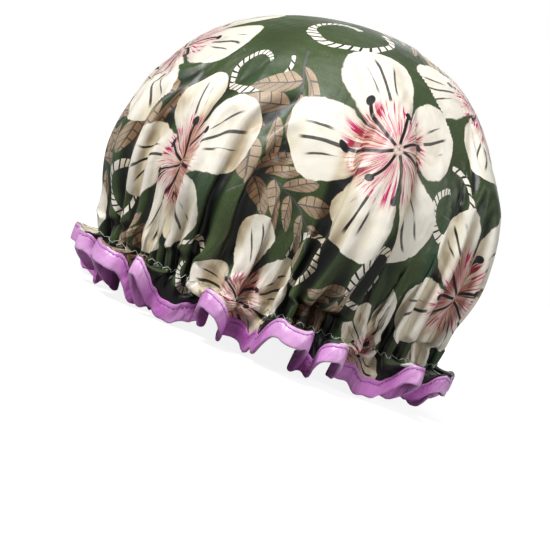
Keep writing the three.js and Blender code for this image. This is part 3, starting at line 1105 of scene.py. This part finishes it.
# The lockstitch: how far above the hem it runs, its pitch and its thread, and for each side of the tape how
# far out of the satin the thread is where it dips in and where it shows
STITCH_LINE = 8.4 * MM
STITCH_PITCH = 2.6 * MM
STITCH_POINTS = 6
STITCH_RADIUS = 0.19 * MM
STITCH_SIDES = {"outer": (0.3, 0.82), "inner": (-1.0, -1.52)}

# The zigzag stitch over the elastic: its reach up and down from the sewn ring, and its thread
ZIGZAG_LEGS = 300
ZIGZAG_REACH = 2.1 * MM
ZIGZAG_SHARPNESS = 0.98
ZIGZAG_RADIUS, INNER_ZIGZAG_RADIUS = 0.17 * MM, 0.2 * MM

# The elastic's section and how it is drawn in at each gather
CORDS, CORD_HEIGHT, SECTION_POINTS, BAND_POINTS = 7, 0.1 * MM, 29, 900
EDGE_ROUNDING, PULL, PULL_IN_WIDTH = 0.35 * MM, 0.12 * MM, 0.02


def section_way(section):
    """The way round a section, from its first point."""
    return np.cumsum(np.linalg.norm(np.diff(section, axis=0, prepend=section[:1]), axis=1))


def frill_rows(cloth, normals, sewn):
    """The frill's rings and their outward directions, and one ring more that goes on past the hem."""
    rows, away = cloth[sewn:], normals[sewn:]
    past = rows[-1] + (rows[-1] - rows[-2])
    return np.concatenate([rows, past[None]]), unit(np.concatenate([away, away[-1:]]))


def make_tape(cloth, normals, sewn):
    """The folded tape round the hem: its section carried along the frill's edge."""
    rows, away = frill_rows(cloth, normals, sewn)
    columns = np.arange(POINTS_ROUND * TAPE_COLUMNS) / TAPE_COLUMNS
    section = np.array(TAPE_SECTION) * MM
    row = (FRILL_LENGTH - section[:, 0]) / FRILL_STEP
    row = np.broadcast_to(row[:, None], (len(section), len(columns)))
    column = np.broadcast_to(columns, row.shape)
    points = at(rows, row, column) + unit(at(away, row, column)) * section[:, 1][:, None, None]
    made = new_object("hem_tape", points, wrap_faces(*row.shape))
    face_outwards(made)
    edge = at(rows, np.full(len(columns), FRILL_RINGS), columns)
    lay_tube_uv(made, closed_way(edge), section_way(section))
    return made


def make_hem_stitches(cloth, normals, sewn):
    """The lockstitch that holds the tape, on both its sides: a thread that dips into the tape between
    stitches. It rises with the root of the sine along each stitch."""
    rows, away = frill_rows(cloth, normals, sewn)
    stitch_row = FRILL_RINGS - STITCH_LINE / FRILL_STEP
    way = closed_way(at(rows, np.full(POINTS_ROUND, stitch_row), np.arange(POINTS_ROUND)))
    count = int(way[-1] / STITCH_PITCH)
    share = np.arange(count * STITCH_POINTS) / STITCH_POINTS
    column = np.interp(share / count * way[-1], way, np.arange(POINTS_ROUND + 1))
    row = np.full(len(column), stitch_row)
    place, out = at(rows, row, column), unit(at(away, row, column))
    rise = np.sqrt(np.clip(np.abs(np.sin(share * math.pi)), 0, 1))
    made = []
    for name, (low, high) in STITCH_SIDES.items():
        path = place + out * ((low + (high - low) * rise) * MM)[:, None]
        made.append(thread("hem_stitches_" + name, path, out, STITCH_RADIUS, 5))
    return made


def zigzag_wave(points_per_leg):
    """The zigzag along its legs: how many legs on each point is, its swing from -1 to 1 and back in nearly
    straight legs, and its rise, which is 1 in the middle of a leg and 0 at its turns."""
    share = np.arange(ZIGZAG_LEGS * points_per_leg) / points_per_leg
    phase = (share + 0.5) * math.pi
    swing = 2 / math.pi * np.arcsin(np.sin(phase) * ZIGZAG_SHARPNESS)
    return share, swing, np.sqrt(np.abs(np.cos(phase)))


def make_zigzag(cloth, normals, sewn):
    """The elastic's zigzag stitch as it shows on the satin: it goes up and down across the sewn ring, and
    into the cloth at each turn."""
    share, swing, rise = zigzag_wave(5)
    row = sewn + swing * ZIGZAG_REACH / FRILL_STEP
    column = share / ZIGZAG_LEGS * POINTS_ROUND
    place, out = at(cloth, row, column), unit(at(normals, row, column))
    path = place + out * ((-0.16 + 0.5 * rise) * MM)[:, None]
    return thread("zigzag_thread", path, out, ZIGZAG_RADIUS, 6)


def make_inner_zigzag():
    """The same stitch over the inside of the elastic."""
    share, swing, rise = zigzag_wave(4)
    angle = ring_angle(share / ZIGZAG_LEGS, WAIST)
    radii = WAIST - 2.1 * MM
    out = unit(np.stack([np.cos(angle) / radii[0], np.sin(angle) / radii[1], 0 * angle], -1))
    level = np.stack([radii[0] * np.cos(angle), radii[1] * np.sin(angle), swing * ZIGZAG_REACH], -1)
    path = level + CENTRE - out * ((-0.1 + 0.2 * rise) * MM)[:, None]
    return thread("inner_zigzag_thread", path, out, INNER_ZIGZAG_RADIUS, 5)


def make_elastic():
    """The knitted elastic: a flat oval band with cords across its width, drawn slightly in at each gather."""
    tall = elastic_high[2] - elastic_low[2]
    up = np.linspace(-0.5, 0.5, SECTION_POINTS)
    cord = CORD_HEIGHT * np.cos(up * CORDS * TURN)
    rounding = EDGE_ROUNDING * np.abs(2 * up) ** 6
    inner = np.stack([-BAND_THICKNESS + PULL - cord + rounding, up * tall], -1)
    outer = np.stack([-PULL + cord - rounding, up * tall], -1)[::-1]
    section = np.concatenate([inner, outer])
    share = np.arange(BAND_POINTS) / BAND_POINTS
    angle = ring_angle(share, WAIST)
    around = np.stack([BAND_RADII[0] * np.cos(angle), BAND_RADII[1] * np.sin(angle), 0 * angle], -1)
    out = unit(np.stack([np.cos(angle) / BAND_RADII[0], np.sin(angle) / BAND_RADII[1], 0 * angle], -1))
    gather = 1 - np.cos(share * TURN * GATHERS)
    points = around + out * (section[:, :1] - PULL * gather)[..., None]
    points[..., 2] += section[:, 1:] * (1 - PULL_IN_WIDTH * gather)
    made = new_object("elastic_knit", points + CENTRE, wrap_faces(len(section), len(share)))
    face_outwards(made)
    lay_tube_uv(made, np.append(share, 1) * ring_length(around), section_way(section))
    return made


def disc_places(rings):
    """Each cloth point's place on the flat disc, the middle first."""
    angle = np.arange(POINTS_ROUND) * TURN / POINTS_ROUND
    places = np.stack([np.outer(rings, np.cos(angle)), np.outer(rings, np.sin(angle))], -1)
    return np.vstack([[[0.0, 0.0]], places.reshape(-1, 2)])


radii, points = start_folds()
crown_top, crown = settle_crown(radii, points)
frill = points[CROWN_RINGS - 1 :]
crown = between(between(crown, 1, True), 0, False)
crown[-1] = frill[0]
crown_radii = between(radii[:CROWN_RINGS, None], 0, False)[:, 0]
cloth_points = np.concatenate([crown, frill[1:]])
cloth_radii = np.concatenate([crown_radii, radii[CROWN_RINGS:]])
sewn_ring = len(crown) - 1
normals = outward(cloth_points)
faces = ring_faces(len(cloth_points), POINTS_ROUND, True)
places = disc_places(cloth_radii)

satin = new_object("satin_cloth", np.vstack([crown_top[None], cloth_points.reshape(-1, 3)]), faces)
lay_uv(satin, places)
share_out(satin, places)
# The pleats' depth, by which the satin's colour gets its painted shade
depth = fold_depth(cloth_points)
lay_depth(satin, np.concatenate([[0.0], depth.ravel()]))
finish_piece(satin, satin_finish())
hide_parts("satin_shell")

film_points = cloth_points - normals * LAYER_GAP
film_top = crown_top - np.array([0, 0, LAYER_GAP])
film_cloud = np.vstack([film_top[None], film_points.reshape(-1, 3)])
film = new_object("film_cloth", film_cloud, [face[::-1] for face in faces])
lay_uv(film, places)
finish_piece(film, film_finish())
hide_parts("waterproof_lining")

knit = finish_piece(make_elastic(), elastic_finish())
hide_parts("elastic_band")
tape = make_tape(cloth_points, normals, sewn_ring)
# The hem ring's fold depth, by which the tape's colour gets its painted shade
lay_depth(tape, np.tile(np.repeat(depth[-1], TAPE_COLUMNS), len(TAPE_SECTION)))
finish_piece(tape, tape_finish())
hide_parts("edge_binding")

white_thread = thread_finish("white_thread", paint(244, 244, 240), paint(205, 206, 200))
lilac_thread = thread_finish("lilac_thread", paint(176, 118, 180), paint(122, 70, 130))
zigzag = finish_piece(make_zigzag(cloth_points, normals, sewn_ring), white_thread)
finish_piece(make_inner_zigzag(), white_thread)
hem_stitches = [
    finish_piece(made, lilac_thread)
    for made in make_hem_stitches(cloth_points, normals, sewn_ring)
]


# The photograph's view: nearly level with the cap, which leans to the right in the frame. The cap's middle
# is seen at this pixel of the photograph.
VIEW_ELEVATION, VIEW_ROLL = math.radians(4), math.radians(22)
VIEW_WIDTH = 338 * MM
IMAGE_SIDE = 550
SEEN_CENTRE = (281.5, 212)


def make_camera():
    """A long lens, level with the cap and turned about its own axis. It looks past the cap's middle so that
    the cap comes where the photograph has it."""
    camera = bpy.data.cameras.new("camera")
    camera.lens, camera.sensor_width = 85, 36
    made = bpy.data.objects.new("camera", camera)
    bpy.context.scene.collection.objects.link(made)
    away = Vector((0, -math.cos(VIEW_ELEVATION), math.sin(VIEW_ELEVATION)))
    turned = (-away).to_track_quat("-Z", "Y").to_matrix().to_4x4() @ Matrix.Rotation(VIEW_ROLL, 4, "Z")
    scale = VIEW_WIDTH / IMAGE_SIDE
    right, up = turned.col[0].to_3d(), turned.col[1].to_3d()
    seen = cloth_points.reshape(-1, 3)
    across, tall = seen @ np.array(right), seen @ np.array(up)
    middle_across, middle_tall = (across.min() + across.max()) / 2, (tall.min() + tall.max()) / 2
    target = right * (middle_across - (SEEN_CENTRE[0] - IMAGE_SIDE / 2) * scale)
    target += up * (middle_tall + (SEEN_CENTRE[1] - IMAGE_SIDE / 2) * scale)
    distance = VIEW_WIDTH * camera.lens / camera.sensor_width
    made.matrix_world = Matrix.Translation(target + away * distance) @ turned
    camera.clip_start, camera.clip_end = 0.01, 20
    bpy.context.scene.camera = made


def make_lamp(name, place, size, power, target=(0, 0, 0.1)):
    """A round lamp of that size in metres and power in watts, turned to the cap's middle."""
    lamp = bpy.data.lights.new(name, "AREA")
    lamp.shape, lamp.size, lamp.energy = "DISK", size, power
    made = bpy.data.objects.new(name, lamp)
    bpy.context.scene.collection.objects.link(made)
    made.location = place
    made.rotation_euler = (Vector(target) - Vector(place)).to_track_quat("-Z", "Y").to_euler()


def make_floor():
    """A pale floor that shows white where it is lit and keeps the cap's shadow."""
    side, below = 6.0, 0.2 * MM
    corners = np.array([[-side, -side], [side, -side], [side, side], [-side, side]])
    corners = np.column_stack([corners, np.full(4, -below)])
    floor = new_object("floor", corners, [(0, 1, 2, 3)])
    material = bpy.data.materials.new("floor")
    material.use_nodes = True
    tree = material.node_tree
    tree.nodes.remove(tree.nodes["Principled BSDF"])
    plain = tree.nodes.new("ShaderNodeBsdfDiffuse")
    plain.inputs["Color"].default_value = (0.3, 0.3, 0.3, 1)
    glow = tree.nodes.new("ShaderNodeEmission")
    glow.inputs["Color"].default_value = (1, 1, 1, 1)
    ray = tree.nodes.new("ShaderNodeLightPath")
    place = tree.nodes.new("ShaderNodeTexCoord").outputs["Object"]
    x, y, _ = parts(tree, place)
    far = ((x * x + y * y) ** 0.5).ramp(0.25, 0.7)
    plug(tree, glow.inputs["Strength"], Number(tree, ray.outputs["Is Camera Ray"]) * (far * 0.2 + 0.87))
    both = tree.nodes.new("ShaderNodeAddShader")
    tree.links.new(plain.outputs[0], both.inputs[0])
    tree.links.new(glow.outputs[0], both.inputs[1])
    tree.links.new(both.outputs[0], tree.nodes["Material Output"].inputs["Surface"])
    floor.data.materials.append(material)


def make_world():
    """White to the camera, and a soft even light on the cap."""
    world = bpy.data.worlds.new("studio")
    bpy.context.scene.world = world
    world.use_nodes = True
    tree = world.node_tree
    ray = tree.nodes.new("ShaderNodeLightPath")
    seen = Number(tree, ray.outputs["Is Camera Ray"])
    background = tree.nodes["Background"]
    background.inputs["Color"].default_value = (1, 1, 1, 1)
    plug(tree, background.inputs["Strength"], 0.16 + seen * 0.84)


make_camera()
make_floor()
make_world()
make_lamp("key", (-0.6, -0.8, 1.1), 0.4, 22)
make_lamp("fill", (1.1, -0.7, 0.6), 0.5, 6)
make_lamp("back", (0.2, 1.0, 0.9), 0.8, 4)
bpy.context.scene.view_settings.view_transform = "Standard"
